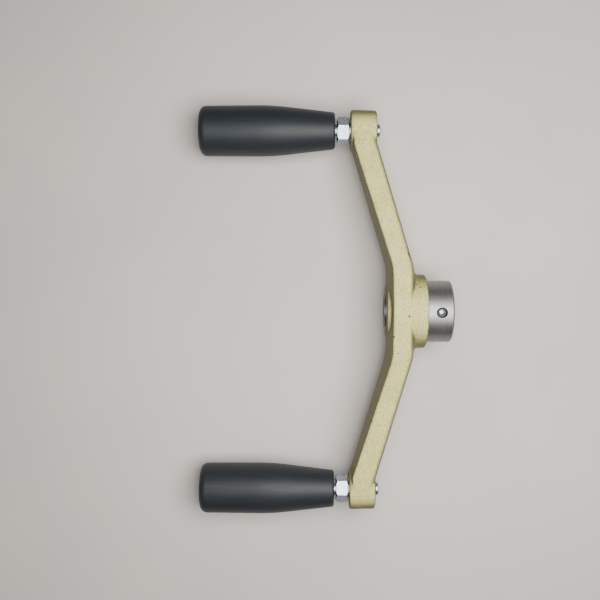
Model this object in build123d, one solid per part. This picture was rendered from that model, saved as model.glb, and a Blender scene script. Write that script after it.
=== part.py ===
from build123d import *
import math
import os

# A two-armed crank with a revolving grip at each end. All sizes are in millimetres.
# The shaft bore runs along X and the origin is on its axis, at the free end of the steel sleeve.
# +X leaves the hub on the sleeve's side, the arms run along +Y and -Y, and the grips point to -X.

# Whole crank
crank_radius = 107.0            # shaft axis to grip axis
handle_sides = {"a": 1, "b": -1}

# Hub of the casting
collar_d = 44.0                 # round collar that the sleeve's head seats against
collar_edge_r = 1.0
hub_length = 23.4               # back face to collar face
hub_back_wall = 2.6             # round the spigot, at the back
hub_back_edge_r = 1.35

# Arms of the casting
arm_width = 17.0                # along X, at the parting plane
arm_root_x = -29.6              # middle of the arms where they cross the hub
arm_root_r = 22.4               # half the arms' depth at the hub
arm_tip_r = 12.0                # half the arms' depth at the end bosses
arm_draft = 7.0                 # degrees, each way from the parting plane
sweep_start = 26.0              # distance from the shaft axis where the arms turn back
sweep_angle = 16.8              # degrees
sweep_bend_r = 25.0
arm_inner_edge_r = 1.3          # crisp edge on the grips' side
arm_outer_edge_r = 4.0          # broad edge on the sleeve's side

# End bosses of the casting
boss_d = 24.6                   # on the grip's side, narrower on the other
boss_length = 15.5
boss_face_x = -59.6             # machined face that the spindle's hexagon seats on
boss_draft = 1.5                # degrees
boss_edge_r = 1.2

# Steel sleeve
sleeve_d = 36.5
sleeve_length = 15.0            # the head, outside the casting
sleeve_chamfer = 0.8
sleeve_seat_chamfer = 0.3
shaft_bore_d = 20.0
spigot_wall = 3.0               # the spigot is pressed through the casting
shaft_bore_chamfer = 0.5

# Set screw
screw_d = 6.0
screw_length = 6.0
screw_socket = 3.0              # across flats
screw_socket_depth = 3.0
screw_from_end = 7.2            # screw axis to the sleeve's free end
screw_sunk = 1.2                # below the sleeve's surface
screw_chamfer = 0.6
screw_cup_d = 3.0
screw_mouth_chamfer = 0.3

# Spindle
hex_flats = 14.0
hex_length = 8.0
hex_chamfer_angle = 30.0        # degrees, on the corners at both ends
hex_turn = {"a": 16.0, "b": -16.0}      # degrees about the spindle where each one pulled up tight
stud_d = 8.0
stud_beyond_boss = 2.2
stud_chamfer = 0.9
thread_mouth_chamfer = 0.4
shoulder_d = 10.0
shoulder_length = 0.9
pin_d = 8.0
pin_end_chamfer = 0.6
groove_depth = 0.2
groove_width = 0.9
groove_to_pin_end = 1.4

# Grip
grip_length = 80.0
grip_neck_d = 21.5
grip_belly_d = 30.0
grip_end_d = 29.5
grip_taper = 6.6                # degrees, half angle of the neck
grip_belly_r = 150.0            # blend from the neck's taper to the belly
grip_neck_edge_r = 1.5
grip_end_edge_r = 4.0
grip_pocket_d = 20.0            # hollow in the end for the washer and ring
grip_pocket_depth = 12.0

# End cap, washer and retaining ring
cap_thickness = 3.0
cap_edge_r = 0.4
washer_d = 16.0
washer_thickness = 1.6
ring_d = 12.6
ring_thickness = 0.8
ring_mouth = 5.0                # opening of the ring

# Clearances
pin_running = 0.05              # radial, pin in grip
grip_end_play = 0.2             # at each end of the grip
washer_running = 0.2            # radial, pin in washer
ring_side_play = 0.05           # ring in its groove

# Worked-out sizes
spigot_d = shaft_bore_d + 2 * spigot_wall
hub_back_d = spigot_d + 2 * hub_back_wall
groove_d = pin_d - 2 * groove_depth

# Worked-out places
sleeve_face_x = -sleeve_length
hub_back_x = sleeve_face_x - hub_length
hex_outer_x = boss_face_x - hex_length
shoulder_x = hex_outer_x - shoulder_length
grip_neck_x = shoulder_x - grip_end_play
grip_end_x = grip_neck_x - grip_length
pocket_floor_x = grip_end_x + grip_pocket_depth
washer_x = pocket_floor_x - grip_end_play
ring_x = washer_x - washer_thickness
stud_end_x = boss_face_x + boss_length + stud_beyond_boss


def slope(degrees):
    return math.tan(math.radians(degrees))


def turned(*points, radii=0):
    """A solid turned about the X axis from (x, radius) points, with its corners rounded."""
    outline = FilletPolyline(*points, radius=radii, close=True)
    return revolve(make_face(outline), Axis.X)


def arm_x_shift(y):
    """How far the arms have swept back at a distance y from the shaft axis."""
    return (abs(y) - sweep_start) * slope(sweep_angle)


def arms():
    """Both arms in one, from boss axis to boss axis, drafted each way from the parting plane."""
    outer_x = arm_root_x + arm_width / 2
    inner_x = arm_root_x - arm_width / 2
    tip = crank_radius
    outer_tip_x = outer_x - arm_x_shift(tip)
    inner_tip_y = sweep_start + (inner_x - boss_face_x) / slope(sweep_angle)
    plan = FilletPolyline(
        (outer_tip_x, -tip),
        (outer_x, -sweep_start),
        (outer_x, sweep_start),
        (outer_tip_x, tip),
        (boss_face_x, tip),
        (boss_face_x, inner_tip_y),
        (inner_x, sweep_start),
        (inner_x, -sweep_start),
        (boss_face_x, -inner_tip_y),
        (boss_face_x, -tip),
        radius=[0, sweep_bend_r, sweep_bend_r, 0, 0, 0, sweep_bend_r, sweep_bend_r, 0, 0],
        close=True,
    )
    circles = Circle(arm_root_r).edges()
    for side in handle_sides.values():
        circles += (Pos(side * crank_radius, 0) * Circle(arm_tip_r)).edges()
    front = Plane.YZ.offset(boss_face_x) * make_hull(circles)
    half = extrude(make_face(plan), arm_root_r + 1, taper=arm_draft) & extrude(front, -boss_face_x)
    half = fillet(arm_rim(half, 1), arm_outer_edge_r)
    half = fillet(arm_rim(half, -1), arm_inner_edge_r)
    return half + mirror(half, Plane.XY)


def arm_rim(half, side):
    """The upper edges of the arms on the sleeve's side (1) or the grips' side (-1)."""
    rim = []
    for edge in half.edges():
        middle = edge.center()
        across = side * (middle.X - arm_root_x + max(0, arm_x_shift(middle.Y)))
        is_on_arm = abs(middle.Y) < crank_radius - 1
        if is_on_arm and middle.Z > arm_tip_r - 1 and across > arm_width / 4:
            rim.append(edge)
    return rim


def hub():
    """Back boss and collar of the casting, solid until they are bored."""
    return turned(
        (hub_back_x, 0),
        (hub_back_x, hub_back_d / 2),
        (arm_root_x, hub_back_d / 2),
        (arm_root_x, collar_d / 2),
        (sleeve_face_x, collar_d / 2),
        (sleeve_face_x, 0),
        radii=[0, hub_back_edge_r, 0, 0, collar_edge_r, 0],
    )


def end_boss():
    far_x = boss_face_x + boss_length
    far_r = boss_d / 2 - boss_length * slope(boss_draft)
    return turned(
        (boss_face_x, 0),
        (boss_face_x, boss_d / 2),
        (far_x, far_r),
        (far_x, 0),
        radii=[0, boss_edge_r, boss_edge_r, 0],
    )


def spigot_hole():
    return turned((hub_back_x - 1, 0), (hub_back_x - 1, spigot_d / 2), (0, spigot_d / 2), (0, 0))


def stud_hole():
    """Threaded hole through an end boss, with a countersunk mouth at each face."""
    near = boss_face_x
    far = boss_face_x + boss_length
    mouth = thread_mouth_chamfer
    return turned(
        (near, 0),
        (near, stud_d / 2 + mouth),
        (near + mouth, stud_d / 2),
        (far - mouth, stud_d / 2),
        (far, stud_d / 2 + mouth),
        (far, 0),
    )


def crank_arm():
    """The casting: arms, hub and end bosses, bored for the sleeve and the two spindles."""
    casting = arms() + hub()
    for side in handle_sides.values():
        casting += Pos(0, side * crank_radius, 0) * end_boss()
    for side in handle_sides.values():
        casting -= Pos(0, side * crank_radius, 0) * stud_hole()
    return casting - spigot_hole()


def hub_sleeve():
    """Turned sleeve: a head outside the collar and a spigot through the casting, on one bore."""
    body = turned(
        (hub_back_x, 0),
        (hub_back_x, spigot_d / 2),
        (sleeve_face_x, spigot_d / 2),
        (sleeve_face_x, sleeve_d / 2 - sleeve_seat_chamfer),
        (sleeve_face_x + sleeve_seat_chamfer, sleeve_d / 2),
        (-sleeve_chamfer, sleeve_d / 2),
        (0, sleeve_d / 2 - sleeve_chamfer),
        (0, 0),
    )
    bore_r = shaft_bore_d / 2
    mouth = shaft_bore_chamfer
    bore = turned(
        (hub_back_x, 0),
        (hub_back_x, bore_r + mouth),
        (hub_back_x + mouth, bore_r),
        (-mouth, bore_r),
        (0, bore_r + mouth),
        (0, 0),
    )
    return body - bore - on_screw_axis() * screw_hole()


def on_screw_axis():
    """The set screw's own X axis runs out along the row's +Z, from the shaft axis."""
    return Pos(-screw_from_end, 0, 0) * Rot(0, -90, 0)


def screw_hole():
    surface = sleeve_d / 2
    mouth = screw_mouth_chamfer
    return turned(
        (0, 0),
        (0, screw_d / 2),
        (surface - mouth, screw_d / 2),
        (surface, screw_d / 2 + mouth),
        (surface + 1, screw_d / 2 + mouth),
        (surface + 1, 0),
    )


def set_screw():
    """Headless screw with a hexagon socket and a cup point."""
    top = sleeve_d / 2 - screw_sunk
    tip = top - screw_length
    body = turned(
        (tip + screw_cup_d / 4, 0),
        (tip, screw_cup_d / 2),
        (tip + (screw_d - screw_cup_d) / 2 - screw_chamfer, screw_d / 2 - screw_chamfer),
        (tip + (screw_d - screw_cup_d) / 2, screw_d / 2),
        (top - screw_chamfer, screw_d / 2),
        (top, screw_d / 2 - screw_chamfer),
        (top, 0),
    )
    socket = RegularPolygon(screw_socket / 2, 6, major_radius=False)
    cut = extrude(Plane.YZ.offset(top) * socket, -screw_socket_depth)
    return on_screw_axis() * (body - cut)


def spindle(turn):
    """Threaded stud, hexagon, shoulder and plain pin with a ring groove, all turned from one bar."""
    corner_r = hex_flats / 2 / math.cos(math.radians(30))
    land_r = hex_flats / 2 * 0.97
    fall = (corner_r - land_r) * slope(hex_chamfer_angle)
    hexagon = extrude(Plane.YZ.offset(hex_outer_x) * RegularPolygon(corner_r, 6), hex_length)
    hexagon &= turned(
        (hex_outer_x, 0),
        (hex_outer_x, land_r),
        (hex_outer_x + fall, corner_r),
        (boss_face_x - fall, corner_r),
        (boss_face_x, land_r),
        (boss_face_x, 0),
    )
    pin_end_x = ring_x - ring_thickness - ring_side_play - groove_to_pin_end
    bar = turned(
        (stud_end_x, 0),
        (stud_end_x, stud_d / 2 - stud_chamfer),
        (stud_end_x - stud_chamfer, stud_d / 2),
        (boss_face_x - 1, stud_d / 2),
        (boss_face_x - 1, shoulder_d / 2),
        (shoulder_x, shoulder_d / 2),
        (shoulder_x, pin_d / 2),
        (ring_x + ring_side_play, pin_d / 2),
        (ring_x + ring_side_play, groove_d / 2),
        (ring_x + ring_side_play - groove_width, groove_d / 2),
        (ring_x + ring_side_play - groove_width, pin_d / 2),
        (pin_end_x + pin_end_chamfer, pin_d / 2),
        (pin_end_x, pin_d / 2 - pin_end_chamfer),
        (pin_end_x, 0),
    )
    return Rot(turn, 0, 0) * hexagon + bar


def grip():
    """Moulded grip: a tapered neck blended into a straight belly, bored for the pin."""
    neck_r = grip_neck_d / 2
    belly_r = grip_belly_d / 2
    belly_x = grip_neck_x - (belly_r - neck_r) / slope(grip_taper)
    outside = turned(
        (grip_neck_x, 0),
        (grip_neck_x, neck_r),
        (belly_x, belly_r),
        (grip_end_x, grip_end_d / 2),
        (grip_end_x, 0),
        radii=[0, grip_neck_edge_r, grip_belly_r, grip_end_edge_r, 0],
    )
    bore_r = pin_d / 2 + pin_running
    inside = turned(
        (grip_neck_x, 0),
        (grip_neck_x, bore_r),
        (pocket_floor_x, bore_r),
        (pocket_floor_x, grip_pocket_d / 2),
        (grip_end_x, grip_pocket_d / 2),
        (grip_end_x, 0),
    )
    return outside - inside


def end_cap():
    """Plug pressed into the grip's pocket, flush with the grip's end."""
    return turned(
        (grip_end_x, 0),
        (grip_end_x, grip_pocket_d / 2),
        (grip_end_x + cap_thickness, grip_pocket_d / 2),
        (grip_end_x + cap_thickness, 0),
        radii=[0, cap_edge_r, 0, 0],
    )


def washer():
    hole_r = pin_d / 2 + washer_running
    return turned(
        (washer_x, hole_r),
        (washer_x, washer_d / 2),
        (washer_x - washer_thickness, washer_d / 2),
        (washer_x - washer_thickness, hole_r),
    )


def retaining_ring():
    """Open spring ring that sits in the pin's groove and holds the washer."""
    ring = turned(
        (ring_x, groove_d / 2),
        (ring_x, ring_d / 2),
        (ring_x - ring_thickness, ring_d / 2),
        (ring_x - ring_thickness, groove_d / 2),
    )
    mouth = Pos(ring_x - ring_thickness / 2, 0, -ring_d / 2) * Box(2 * ring_thickness, ring_mouth, ring_d)
    return ring - mouth


def handle_pieces(name):
    """The pieces of one handle, on their own axis."""
    return {
        f"spindle_{name}": spindle(hex_turn[name]),
        f"grip_{name}": grip(),
        f"end_cap_{name}": end_cap(),
        f"washer_{name}": washer(),
        f"retaining_ring_{name}": retaining_ring(),
    }


def crank():
    """Every piece by name, in its place."""
    pieces = {"crank_arm": crank_arm(), "hub_sleeve": hub_sleeve(), "set_screw": set_screw()}
    for name, side in handle_sides.items():
        for node, piece in handle_pieces(name).items():
            pieces[node] = Pos(0, side * crank_radius, 0) * piece
    return pieces


os.makedirs("parts", exist_ok=True)
for node, piece in crank().items():
    export_step(piece, f"parts/{node}.step")
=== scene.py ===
# %% [markdown]
# # A two-armed crank handle, finished around its CAD model
# The crank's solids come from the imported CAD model, which this file never moves or reshapes. What is
# made here is how they look: paint over a rough sand casting, turned and zinc-plated steel, moulded
# grips, and the bench and light that show them. Everything is in metres and in the CAD model's frame:
# the shaft bore runs along X with the origin at the sleeve's free end, the arms run along Y, and Z
# is up from the bench.

# %% Load the CAD model
import math

import bmesh
import bpy
from mathutils import Euler, Matrix, Vector


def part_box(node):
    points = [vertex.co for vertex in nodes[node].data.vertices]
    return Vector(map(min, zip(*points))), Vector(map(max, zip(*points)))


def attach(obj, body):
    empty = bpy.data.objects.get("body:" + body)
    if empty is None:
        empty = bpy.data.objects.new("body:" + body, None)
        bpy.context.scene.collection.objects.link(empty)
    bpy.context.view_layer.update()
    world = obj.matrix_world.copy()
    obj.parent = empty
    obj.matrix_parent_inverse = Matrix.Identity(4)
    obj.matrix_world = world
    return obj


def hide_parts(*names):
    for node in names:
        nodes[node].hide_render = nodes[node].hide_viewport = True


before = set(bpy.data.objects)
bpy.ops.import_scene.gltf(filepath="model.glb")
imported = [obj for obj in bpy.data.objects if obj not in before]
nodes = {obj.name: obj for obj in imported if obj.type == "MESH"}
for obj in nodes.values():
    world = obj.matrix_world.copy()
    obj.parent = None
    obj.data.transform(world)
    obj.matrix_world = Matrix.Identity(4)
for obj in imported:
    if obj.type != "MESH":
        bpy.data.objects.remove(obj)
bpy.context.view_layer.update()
mm = 0.001
print("CAD nodes:", sorted(nodes))

# %% [markdown]
# ## Places on the crank
# Every new surface is placed from the CAD pieces' own boxes, so that it still fits if the CAD changes.
# The casting's lowest X is the machined face of its end bosses, where each hexagon seats. Its highest
# X is the collar's face, and the sleeve runs from the hub's back face to the origin.

# %% Measure the places
boss_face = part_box("crank_arm")[0][0]
collar_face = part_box("crank_arm")[1][0]
hub_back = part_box("hub_sleeve")[0][0]
sleeve_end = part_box("hub_sleeve")[1][0]
sleeve_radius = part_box("hub_sleeve")[1][1]
grip_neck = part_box("grip_a")[1][0]
grip_axis = (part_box("grip_a")[0][1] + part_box("grip_a")[1][1]) / 2
screw_x = (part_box("set_screw")[0][0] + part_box("set_screw")[1][0]) / 2
screw_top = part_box("set_screw")[1][2]
collar_radius = 22 * mm
boss_radius = 12.3 * mm
print(f"boss face {boss_face / mm:.2f}, collar face {collar_face / mm:.2f}, grip axis {grip_axis / mm:.2f} mm")

# %% [markdown]
# ## The camera
# The crank is seen from straight above, from a little under half a metre. That distance matters more
# than the lens: it decides how much of each side shows. The camera leans by a degree or two, as one
# held by hand does.

# %% Place the camera
middle_from_sleeve_end = -89.78 * mm
camera_distance = 461.42 * mm
camera_shift = Vector((0.56, 6.50)) * mm
camera_lean = Euler((math.radians(-1.90), math.radians(1.09), math.radians(0.11)), "ZXY")
picture_angle = math.radians(42.56)

lean = camera_lean.to_matrix().to_4x4()
middle = Vector((sleeve_end + middle_from_sleeve_end, 0, 0))
to_camera = lean @ Vector((camera_shift.x, camera_shift.y, camera_distance))
camera_data = bpy.data.cameras.new("camera")
camera_data.angle = picture_angle
camera = bpy.data.objects.new("camera", camera_data)
bpy.context.scene.collection.objects.link(camera)
camera.matrix_world = Matrix.Translation(middle + to_camera) @ lean
bpy.context.scene.camera = camera
print(f"camera is {to_camera.length / mm:.0f} mm from the crank")

# %% [markdown]
# ## Helpers for meshes
# A new piece starts as a bmesh, either turned from an outline or copied from a CAD mesh with its
# doubled vertices merged. Baking gives a piece the mesh that its modifiers make, so that the next step
# can measure the result and work on it.

# %% Mesh helpers
def piece_from(bm, name):
    """Turns a finished bmesh into an object at the origin."""
    mesh = bpy.data.meshes.new(name)
    bm.to_mesh(mesh)
    bm.free()
    piece = bpy.data.objects.new(name, mesh)
    bpy.context.scene.collection.objects.link(piece)
    return piece


def turned(name, outline, steps=64):
    """A piece turned about X from (x, radius) points in mm, which start and end on the axis."""
    bm = bmesh.new()
    points = [bm.verts.new((x * mm, radius * mm, 0)) for x, radius in outline]
    edges = [bm.edges.new(pair) for pair in zip(points, points[1:])]
    bmesh.ops.spin(bm, geom=points + edges, cent=(0, 0, 0), axis=(1, 0, 0), angle=math.tau,
                   steps=steps, use_merge=True)
    bmesh.ops.remove_doubles(bm, verts=bm.verts, dist=0.001 * mm)
    bmesh.ops.recalc_face_normals(bm, faces=bm.faces)
    return piece_from(bm, name)


def bake(piece):
    """Replaces a piece's mesh with what its modifiers make of it."""
    seen = piece.evaluated_get(bpy.context.evaluated_depsgraph_get())
    mesh = bpy.data.meshes.new_from_object(seen)
    piece.modifiers.clear()
    piece.data = mesh


def modify(piece, kind, **settings):
    modifier = piece.modifiers.new(kind.lower(), kind)
    for setting, value in settings.items():
        setattr(modifier, setting, value)


def weigh(piece, name, weight):
    """Gives a piece a vertex group from a function of the vertex's place, in mm."""
    group = piece.vertex_groups.new(name=name)
    for vertex in piece.data.vertices:
        amount = weight(*(vertex.co / mm))
        if amount > 0:
            group.add([vertex.index], min(amount, 1), "REPLACE")
    return group.name


def shade_smooth(piece, sharp_degrees=180):
    piece.data.polygons.foreach_set("use_smooth", [True] * len(piece.data.polygons))
    piece.data.set_sharp_from_angle(angle=math.radians(sharp_degrees))

# %% [markdown]
# ## The casting
# The arms, hub and bosses are one sand casting. Nothing on it is crisp but what was machined: sand
# rounds each corner, and molten metal fills each inner corner to a cove. The CAD solid is remeshed to
# an even skin and smoothed, most where the arms run into the collar and the bosses, and the skin is
# then lowered a little by a slow noise, as a sand mould leaves it. Lowering it, and never raising it,
# keeps the piece inside the CAD one. The arms' outer edges stay crisper than the rest, because the
# pattern was worked sharp there, so a bar under each edge squares it up before the remesh joins them.

# %% Shape the casting
skin_grid = 0.62 * mm
cove_reach = 4.5
boss_cove_reach = 3.0
edge_passes = 4
collar_cove_passes = 45
boss_cove_passes = 7
sand_depth = 0.22 * mm
sand_grain = 5 * mm
arm_edge_line = [(-25.2, 2, 22.2), (-25.2, 24.5, 20.05), (-45.3, 92, 13.35)]


def near_ring(distance, reach):
    """1 on a ring, falling to 0 at the cove's reach."""
    return 1 - distance / reach


def by_collar(x, y, z):
    """The inner corner where the arms' outer side meets the collar."""
    corner_x = -21.5
    return near_ring(math.hypot(x - corner_x, math.hypot(y, z) - collar_radius / mm), cove_reach)


def by_bosses(x, y, z):
    """The inner corners where the arms run into the end bosses."""
    from_axis = math.hypot(abs(y) - grip_axis / mm, z)
    on_arm_side = abs(y) < grip_axis / mm
    clear_of_face = x > boss_face / mm + 1.5
    return near_ring(abs(from_axis - boss_radius / mm), boss_cove_reach) * on_arm_side * clear_of_face


def rough_skin(x, y, z):
    """Everywhere but the machined faces of the bosses and the hub."""
    from_boss_face = x - boss_face / mm
    from_collar_face = collar_face / mm - x
    return min(from_boss_face, from_collar_face, 1)


def arm_edge(start, end):
    """A bar inside an arm. Its upper outer edge, from start to end in mm, is the arm's crisp edge."""
    start, end = Vector(start) * mm, Vector(end) * mm
    along = end - start
    inward = Vector((-6, 0, 0)) * mm
    depth = 4 * mm
    down = Vector((depth * math.tan(math.radians(11)), 0, -math.copysign(depth, start.z)))
    middle = start + (along + inward + down) / 2
    shape = Matrix((along, inward, down)).transposed().to_4x4()
    bmesh.ops.create_cube(bm, size=1, matrix=Matrix.Translation(middle) @ shape)


bm = bmesh.new()
bm.from_mesh(nodes["crank_arm"].data)
bmesh.ops.remove_doubles(bm, verts=bm.verts, dist=0.001 * mm)
for y_side in (1, -1):
    for z_side in (1, -1):
        edge = [(x, y_side * y, z_side * z) for x, y, z in arm_edge_line]
        arm_edge(edge[0], edge[1])
        arm_edge(edge[1], edge[2])
bmesh.ops.recalc_face_normals(bm, faces=bm.faces)
casting = piece_from(bm, "casting")
modify(casting, "REMESH", mode="VOXEL", voxel_size=skin_grid)
modify(casting, "SMOOTH", factor=0.5, iterations=edge_passes)
bake(casting)
modify(casting, "SMOOTH", factor=0.5, iterations=collar_cove_passes, vertex_group=weigh(casting, "collar", by_collar))
modify(casting, "SMOOTH", factor=0.5, iterations=boss_cove_passes, vertex_group=weigh(casting, "bosses", by_bosses))
sand = bpy.data.textures.new("sand", "CLOUDS")
sand.noise_scale = sand_grain
sand.noise_depth = 2
modify(casting, "DISPLACE", texture=sand, mid_level=1.0, strength=sand_depth,
       vertex_group=weigh(casting, "sand", rough_skin))
bake(casting)
shade_smooth(casting)
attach(casting, "crank")
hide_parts("crank_arm")
print(f"casting: {len(casting.data.polygons)} faces")

# %% [markdown]
# ## The spindles
# Each handle's spindle is turned from hexagon bar. The corners are cut back by a steep chamfer at both
# ends, which leaves each flat with a curved outline, and a washer face below the hexagon seats on the
# boss. The hexagon is therefore a six-sided prism cut by a turned blank. The stud's end stands out of
# the boss with two turns of thread in view, which are cut as plain rings. The shoulder beyond the
# hexagon and the pin with its ring groove keep the CAD's sizes.

# %% Make one spindle
hexagon_flats = 14.0
washer_face = 12.8
washer_face_height = 0.5
chamfer_slope = math.tan(math.radians(30))
thread_pitch = 1.25
thread_depth = 0.65
stud_radius = 4.0
pin_radius = 4.0
hexagon_turn = {"a": 16.0, "b": -16.0}


def hexagon(name):
    """The hexagon with its chamfered ends and washer face, on the shaft axis."""
    corner = hexagon_flats / 2 / math.cos(math.radians(30))
    inner = grip_neck / mm + 1.1
    outer = boss_face / mm
    land = washer_face / 2
    fall = (corner - land) * chamfer_slope
    seat = outer - washer_face_height
    blank = turned(name + "_blank", [
        (inner, 0), (inner, land), (inner + fall, corner), (seat - fall, corner), (seat, land),
        (outer, land), (outer, 0)])
    bm = bmesh.new()
    bmesh.ops.create_cone(bm, cap_ends=True, segments=6, radius1=corner * mm, radius2=corner * mm,
                          depth=(outer - inner + 2) * mm)
    bmesh.ops.rotate(bm, verts=bm.verts, matrix=Matrix.Rotation(math.radians(90), 3, "Y"))
    bmesh.ops.translate(bm, verts=bm.verts, vec=((outer + inner) / 2 * mm, 0, 0))
    prism = piece_from(bm, name)
    modify(prism, "BOOLEAN", object=blank, operation="INTERSECT", solver="EXACT")
    bake(prism)
    bpy.data.objects.remove(blank)
    return prism


def thread(start, end):
    """The (x, radius) points of a threaded end, from its root at start to its chamfered tip."""
    points = []
    x = start
    while x + thread_pitch < end:
        points += [(x, stud_radius - thread_depth), (x + thread_pitch / 2, stud_radius)]
        x += thread_pitch
    return points + [(end - 0.5, stud_radius - 0.2), (end, stud_radius - 0.9), (end, 0)]


def bar(name, node):
    """The round parts of a spindle on the shaft axis: thread, shoulder and pin with its groove."""
    low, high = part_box(node)
    pin_end = low[0] / mm
    stud_end = high[0] / mm
    shoulder = grip_neck / mm + 0.2
    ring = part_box(node.replace("spindle", "retaining_ring"))
    groove = (ring[0][0] / mm - 0.05, ring[1][0] / mm + 0.05)
    outline = [(pin_end, 0), (pin_end, pin_radius - 0.6), (pin_end + 0.6, pin_radius)]
    outline += [(groove[0], pin_radius), (groove[0], 3.8), (groove[1], 3.8), (groove[1], pin_radius)]
    outline += [(shoulder, pin_radius), (shoulder, 4.6), (shoulder + 2, 4.6), (shoulder + 2, stud_radius)]
    outline += [(boss_face / mm + 14, stud_radius)]
    return turned(name + "_bar", outline + thread(boss_face / mm + 14.2, stud_end), steps=48)


def spindle(handle, side):
    """One whole spindle, turned to where it pulled up tight and moved onto its grip's axis."""
    bm = bmesh.new()
    body = hexagon("hexagon_" + handle)
    bm.from_mesh(body.data)
    turn = Matrix.Rotation(math.radians(hexagon_turn[handle]), 3, "X")
    bmesh.ops.rotate(bm, verts=bm.verts, matrix=turn)
    shank = bar("spindle_" + handle, "spindle_" + handle)
    bm.from_mesh(shank.data)
    bmesh.ops.translate(bm, verts=bm.verts, vec=(0, side * grip_axis, 0))
    bpy.data.objects.remove(body)
    bpy.data.objects.remove(shank)
    return piece_from(bm, "plated_spindle_" + handle)

# %% Fit both spindles
for handle, side in (("a", 1), ("b", -1)):
    piece = spindle(handle, side)
    shade_smooth(piece, sharp_degrees=25)
    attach(piece, "crank")
    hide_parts("spindle_" + handle)
    print(f"{piece.name}: {len(piece.data.polygons)} faces")

# %% [markdown]
# ## Helpers for materials
# Every material is made of nodes in the piece's own coordinates, so the marks stay with the metal when
# the piece turns. Sizes in them are therefore in metres, and a noise of scale 1000 has grains of 1 mm.

# %% Material helpers
def colour(red, green, blue):
    """Screen values from 0 to 255 as the linear colour that a shader takes."""
    return tuple(((value / 255 + 0.055) / 1.055) ** 2.4 for value in (red, green, blue)) + (1,)


def add(tree, kind, inputs, **settings):
    """Adds a shader node. Each input takes a value, or the socket that feeds it."""
    node = tree.nodes.new("ShaderNode" + kind)
    for setting, value in settings.items():
        setattr(node, setting, value)
    for name, value in inputs.items():
        if isinstance(value, bpy.types.NodeSocket):
            tree.links.new(value, node.inputs[name])
        else:
            node.inputs[name].default_value = value
    return node


def reckon(tree, operation, first, second=0.0):
    return add(tree, "Math", {0: first, 1: second}, operation=operation).outputs[0]


def noise(tree, where, scale, detail=2.0):
    return add(tree, "TexNoise", {"Vector": where, "Scale": scale, "Detail": detail}).outputs[0]


def fade(tree, value, low, high, start=0.0, end=1.0):
    """Goes smoothly from start to end as a value goes from low to high."""
    inputs = {"Value": value, "From Min": low, "From Max": high, "To Min": start, "To Max": end}
    return add(tree, "MapRange", inputs, interpolation_type="SMOOTHSTEP").outputs[0]


def mix(tree, amount, first, second):
    """One colour where the amount is 0 and another where it is 1."""
    node = add(tree, "Mix", {0: amount, 6: first, 7: second}, data_type="RGBA")
    return node.outputs[2]


def bump(tree, height, depth):
    return add(tree, "Bump", {"Height": height, "Distance": depth}).outputs[0]


def new_material(name):
    """A material's tree, its shader and the piece's own coordinates."""
    material = bpy.data.materials.new(name)
    material.use_nodes = True
    tree = material.node_tree
    return material, tree, tree.nodes["Principled BSDF"], add(tree, "TexCoord", {}).outputs["Object"]


def feed(tree, shader, inputs):
    """Sets or links the shader's sockets."""
    for name, value in inputs.items():
        if isinstance(value, bpy.types.NodeSocket):
            tree.links.new(value, shader.inputs[name])
        else:
            shader.inputs[name].default_value = value


def dress(node, material):
    """Gives a CAD node or a new piece its material, through the object's own slot."""
    piece = nodes[node] if node in nodes else bpy.data.objects[node]
    if not piece.material_slots:
        piece.data.materials.append(None)
    for slot in piece.material_slots:
        slot.link = "OBJECT"
        slot.material = material

# %% [markdown]
# ## Effects that several materials share
# A lathe leaves fine rings, which run round the axis on a cylinder and on an end face alike, so their
# pattern depends on the distance along the axis plus the radius. No made surface shines evenly, so
# each roughness varies slowly by a few hundredths. A spot is a ragged patch at one place, for a chip
# in the paint or a painted highlight.

# %% Group helpers and the three effects
def new_effect(name, inputs, output):
    """A node group with the given inputs and one value out: its tree, inputs and output socket."""
    tree = bpy.data.node_groups.new(name, "ShaderNodeTree")
    for socket, kind in inputs.items():
        tree.interface.new_socket(socket, in_out="INPUT", socket_type="NodeSocket" + kind)
    tree.interface.new_socket(output, in_out="OUTPUT", socket_type="NodeSocketFloat")
    return tree, tree.nodes.new("NodeGroupInput").outputs, tree.nodes.new("NodeGroupOutput").inputs[0]


def use(tree, effect, **inputs):
    return add(tree, "Group", inputs, node_tree=effect).outputs[0]


turning, given, result = new_effect("turning_marks", {"Where": "Vector", "Axis": "Float", "Fineness": "Float"}, "Marks")
part = add(turning, "SeparateXYZ", {0: given["Where"]}).outputs
across = reckon(turning, "SUBTRACT", reckon(turning, "ABSOLUTE", part["Y"]), given["Axis"])
across_squared = reckon(turning, "MULTIPLY", across, across)
up_squared = reckon(turning, "MULTIPLY", part["Z"], part["Z"])
radius = reckon(turning, "SQRT", reckon(turning, "ADD", across_squared, up_squared))
along = reckon(turning, "ADD", part["X"], radius)
rings = add(turning, "TexNoise", {"W": along, "Scale": given["Fineness"], "Detail": 3.0}, noise_dimensions="1D")
turning.links.new(rings.outputs[0], result)

sheen, given, result = new_effect("uneven_sheen", {"Where": "Vector", "Roughness": "Float", "Spread": "Float", "Scale": "Float"}, "Roughness")
patches = add(sheen, "TexNoise", {"Vector": given["Where"], "Scale": given["Scale"], "Detail": 3.0}).outputs[0]
change = reckon(sheen, "MULTIPLY", reckon(sheen, "SUBTRACT", patches, 0.5), given["Spread"])
sheen.links.new(reckon(sheen, "ADD", given["Roughness"], change), result)

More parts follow.
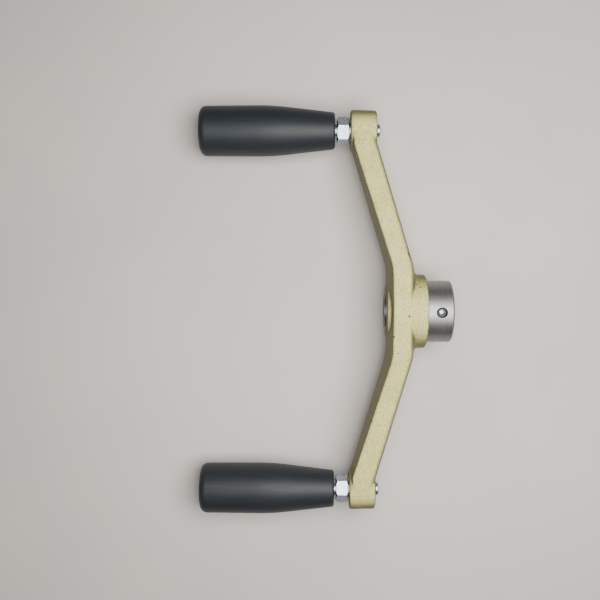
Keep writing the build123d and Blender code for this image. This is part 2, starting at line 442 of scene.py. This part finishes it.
spot, given, result = new_effect("spot", {"Where": "Vector", "Centre": "Vector", "Size": "Float"}, "Mask")
ragged = add(spot, "TexNoise", {"Vector": given["Where"], "Scale": 1500.0, "Detail": 2.0}).outputs[0]
distance = add(spot, "VectorMath", {0: given["Where"], 1: given["Centre"]}, operation="DISTANCE").outputs["Value"]
edge = reckon(spot, "MULTIPLY", given["Size"], reckon(spot, "ADD", ragged, 0.5))
inside = reckon(spot, "DIVIDE", reckon(spot, "SUBTRACT", edge, distance), given["Size"])
spot.links.new(fade(spot, inside, 0.0, 0.25), result)
print("effects:", [group.name for group in bpy.data.node_groups])

# %% [markdown]
# ## Paint on the casting
# The casting is sprayed a pale yellow-green straight over the sand-cast skin, thin enough for the
# grain to show through as fine pits. It is greyer in some patches than in others. Handling has chipped
# it to dark metal at a few sharp places: by the hub, along the arms' edges and on the collar. Faces
# turned away from the eye are painted a darker olive, a painted shade on the arms' sides and collar.

# %% Casting paint
chips = {
    "hub, sleeve side": (-26.6, -1.9, 21.6, 0.95),
    "hub, grip side": (-35.2, -13.9, 20.9, 0.75),
    "upper arm's outer edge": (-26.6, 33.6, 17.4, 1.2),
    "upper arm's outer edge, next to it": (-26.0, 31.6, 17.6, 0.9),
    "collar": (-19.6, 14.6, 16.4, 0.55),
    "lower arm's inner edge": (-47.5, -63.0, 15.6, 0.9),
    "lower arm's top": (-32.6, -23.3, 20.1, 0.45),
}


def casting_paint():
    material, tree, shader, where = new_material("casting_paint")
    patches = noise(tree, where, 70.0)
    paint = mix(tree, fade(tree, patches, 0.35, 0.7), colour(*paint_light), colour(*paint_dull))
    grain = noise(tree, where, 1300.0, 4.0)
    coarse = noise(tree, where, 380.0, 2.0)
    pits = fade(tree, grain, 0.5, 0.68, 0.0, pit_strength)
    paint = mix(tree, pits, paint, colour(*pit_colour))
    paint = mix(tree, fade(tree, grain, 0.46, 0.32, 0.0, 0.5), paint, colour(*grain_top_colour))
    # Painted shade: the more a face turns away from the eye, the more its paint is mixed towards dark olive.
    turned_away = add(tree, "LayerWeight", {"Blend": 0.5}).outputs["Facing"]
    paint = mix(tree, fade(tree, turned_away, 0.08, 0.62, 0.0, 0.95), paint, colour(*painted_side_shade_colour))
    chipped = 0.0
    for x, y, z, size in chips.values():
        mask = use(tree, spot, Where=where, Centre=(x * mm, y * mm, z * mm), Size=size * mm)
        chipped = reckon(tree, "MAXIMUM", mask, chipped)
    paint = mix(tree, chipped, paint, colour(74, 66, 48))
    height = reckon(tree, "ADD", reckon(tree, "MULTIPLY", grain, -0.5), coarse)
    height = reckon(tree, "SUBTRACT", height, chipped)
    feed(tree, shader, {
        "Base Color": paint,
        "Roughness": use(tree, sheen, Where=where, Roughness=0.52, Spread=0.2, Scale=300.0),
        "Normal": bump(tree, height, 0.16 * mm),
        "Specular IOR Level": 0.4,
    })
    return material


paint_light = (201, 193, 121)
paint_dull = (189, 183, 108)
pit_colour = (128, 122, 74)
pit_strength = 0.75
grain_top_colour = (222, 216, 166)
painted_side_shade_colour = (84, 83, 50)
dress("casting", casting_paint())
print("paint with", len(chips), "chips")

# %% [markdown]
# ## Bare and plated steel
# The sleeve is turned bright steel, and its back face, which the paint stops short of, is coloured darker.
# The hexagons are barrel plated: zinc crystals catch the light patch by patch. The set screw is black
# oxide, with a painted highlight on the floor of its socket, and the spring rings are phosphated.

# %% Steels
def turned_steel():
    material, tree, shader, where = new_material("turned_steel")
    marks = use(tree, turning, Where=where, Axis=0.0, Fineness=2500.0)
    along = add(tree, "SeparateXYZ", {0: where}).outputs["X"]
    # The back face is coloured darker than the rest of the sleeve.
    back = fade(tree, along, hub_back + 0.05 * mm, hub_back + 0.4 * mm, 1.0, 0.0)
    bright = mix(tree, fade(tree, marks, 0.3, 0.7), colour(124, 124, 126), colour(147, 147, 148))
    feed(tree, shader, {
        "Base Color": mix(tree, back, bright, colour(92, 92, 94)),
        "Metallic": 1.0,
        "Roughness": use(tree, sheen, Where=where, Roughness=0.47, Spread=0.14, Scale=180.0),
        "Normal": bump(tree, marks, 0.02 * mm),
    })
    return material


def zinc_steel():
    material, tree, shader, where = new_material("zinc_steel")
    crystals = add(tree, "TexVoronoi", {"Vector": where, "Scale": 1500.0}).outputs["Color"]
    tone = add(tree, "SeparateColor", {0: crystals}).outputs[0]
    marks = use(tree, turning, Where=where, Axis=grip_axis, Fineness=3000.0)
    height = reckon(tree, "ADD", reckon(tree, "MULTIPLY", tone, 0.6), reckon(tree, "MULTIPLY", marks, 0.4))
    feed(tree, shader, {
        "Base Color": mix(tree, tone, colour(132, 142, 156), colour(192, 201, 216)),
        "Metallic": 1.0,
        "Roughness": fade(tree, tone, 0.0, 1.0, 0.26, 0.4),
        "Normal": bump(tree, height, 0.036 * mm),
    })
    return material


def black_steel():
    material, tree, shader, where = new_material("black_steel")
    floor = (screw_x + 0.35 * mm, 0.4 * mm, screw_top - 2.6 * mm)
    # A painted highlight: the floor of the socket is coloured near white and made less metallic.
    socket_glint_painted = use(tree, spot, Where=where, Centre=floor, Size=1.4 * mm)
    feed(tree, shader, {
        "Base Color": mix(tree, socket_glint_painted, colour(45, 45, 47), colour(235, 235, 235)),
        "Metallic": fade(tree, socket_glint_painted, 0.0, 1.0, 0.9, 0.3),
        "Roughness": use(tree, sheen, Where=where, Roughness=0.42, Spread=0.2, Scale=900.0),
    })
    return material


def spring_steel():
    material, tree, shader, where = new_material("spring_steel")
    marks = use(tree, turning, Where=where, Axis=grip_axis, Fineness=4000.0)
    feed(tree, shader, {
        "Base Color": colour(88, 88, 92),
        "Metallic": 1.0,
        "Roughness": use(tree, sheen, Where=where, Roughness=0.4, Spread=0.2, Scale=700.0),
        "Normal": bump(tree, marks, 0.01 * mm),
    })
    return material


zinc = zinc_steel()
spring = spring_steel()
dress("hub_sleeve", turned_steel())
dress("set_screw", black_steel())
for handle in "ab":
    dress("plated_spindle_" + handle, zinc)
    dress("washer_" + handle, zinc)
    dress("retaining_ring_" + handle, spring)
print("steel on", 2 + 3 * 2, "pieces")

# %% [markdown]
# ## Moulded grips
# The grips are satin black plastic, a little blue. Ejection from the mould draws faint streaks along
# them, which are a noise stretched along X. The end cap is moulded from the same plastic.

# %% Grip plastic
def grip_plastic():
    material, tree, shader, where = new_material("grip_plastic")
    stretched = add(tree, "Mapping", {"Vector": where, "Scale": (0.06, 1.0, 1.0)}).outputs[0]
    streaks = noise(tree, stretched, 900.0, 3.0)
    grain = noise(tree, where, 2500.0, 2.0)
    height = reckon(tree, "ADD", streaks, reckon(tree, "MULTIPLY", grain, 0.3))
    feed(tree, shader, {
        "Base Color": mix(tree, fade(tree, streaks, 0.3, 0.75), colour(*plastic_dark), colour(*plastic_light)),
        "Roughness": use(tree, sheen, Where=stretched, Roughness=0.5, Spread=0.12, Scale=700.0),
        "Normal": bump(tree, height, 0.02 * mm),
        "Specular IOR Level": 0.34,
    })
    return material


plastic_dark = (28, 33, 38)
plastic_light = (33, 38, 44)
plastic = grip_plastic()
for handle in "ab":
    dress("grip_" + handle, plastic)
    dress("end_cap_" + handle, plastic)
print("plastic on 4 pieces")

# %% [markdown]
# ## Bench and light
# The crank lies on a pale matte sheet, on the hub's rim and the ends of its grips, so the sheet is
# tipped by a few degrees in the crank's own frame. A large soft light stands above, a little towards
# the sleeve, and pale walls all round fill the shadows. The walls are darker low down, and that is
# what gives the round steel its dark sides.

# %% Lay the sheet
sheet_size = 1500 * mm
below_arm = 0.3 * mm
rest_on_hub = -30 * mm
rest_on_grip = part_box("grip_a")[0][0] + 4 * mm
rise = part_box("grip_a")[0][2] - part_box("crank_arm")[0][2]
sheet_tilt = math.atan2(rise, rest_on_hub - rest_on_grip)


def sheet_paint():
    material, tree, shader, where = new_material("sheet")
    cloudy = noise(tree, where, 9.0, 3.0)
    feed(tree, shader, {
        "Base Color": mix(tree, fade(tree, cloudy, 0.3, 0.7), colour(*sheet_light), colour(*sheet_dull)),
        "Roughness": 0.75,
        "Normal": bump(tree, noise(tree, where, 1400.0), 0.02 * mm),
    })
    return material


sheet_light = (198, 191, 185)
sheet_dull = (190, 185, 181)
bm = bmesh.new()
bmesh.ops.create_grid(bm, x_segments=1, y_segments=1, size=sheet_size)
bmesh.ops.rotate(bm, verts=bm.verts, matrix=Matrix.Rotation(sheet_tilt, 3, "Y"))
bmesh.ops.translate(bm, verts=bm.verts, vec=(rest_on_hub, 0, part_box("crank_arm")[0][2] - below_arm))
sheet = piece_from(bm, "sheet")
dress("sheet", sheet_paint())
print(f"sheet lies {below_arm / mm:.1f} mm under the arm, tipped by {math.degrees(sheet_tilt):.1f} degrees")

# %% Light it
key_place = Vector((0.05, 0.01, 0.42))
key_size = 0.38
key_power = 4.9
sky_bright = 0.22
sky_dark = 0.05

world = bpy.data.worlds.new("studio")
bpy.context.scene.world = world
world.use_nodes = True
tree = world.node_tree
direction = add(tree, "TexCoord", {}).outputs["Generated"]
height = add(tree, "SeparateXYZ", {0: direction}).outputs["Z"]
walls = fade(tree, height, 0.15, 0.85, sky_dark, sky_bright)
background = tree.nodes["Background"]
background.inputs["Color"].default_value = (1.0, 0.985, 0.96, 1)
tree.links.new(walls, background.inputs["Strength"])

light_data = bpy.data.lights.new("key", "AREA")
light_data.size = key_size
light_data.energy = key_power
light_data.color = (1.0, 0.98, 0.95)
light = bpy.data.objects.new("key", light_data)
light.location = key_place
light.rotation_euler = key_place.to_track_quat("Z", "Y").to_euler()
bpy.context.scene.collection.objects.link(light)
print("key light", key_power, "W")
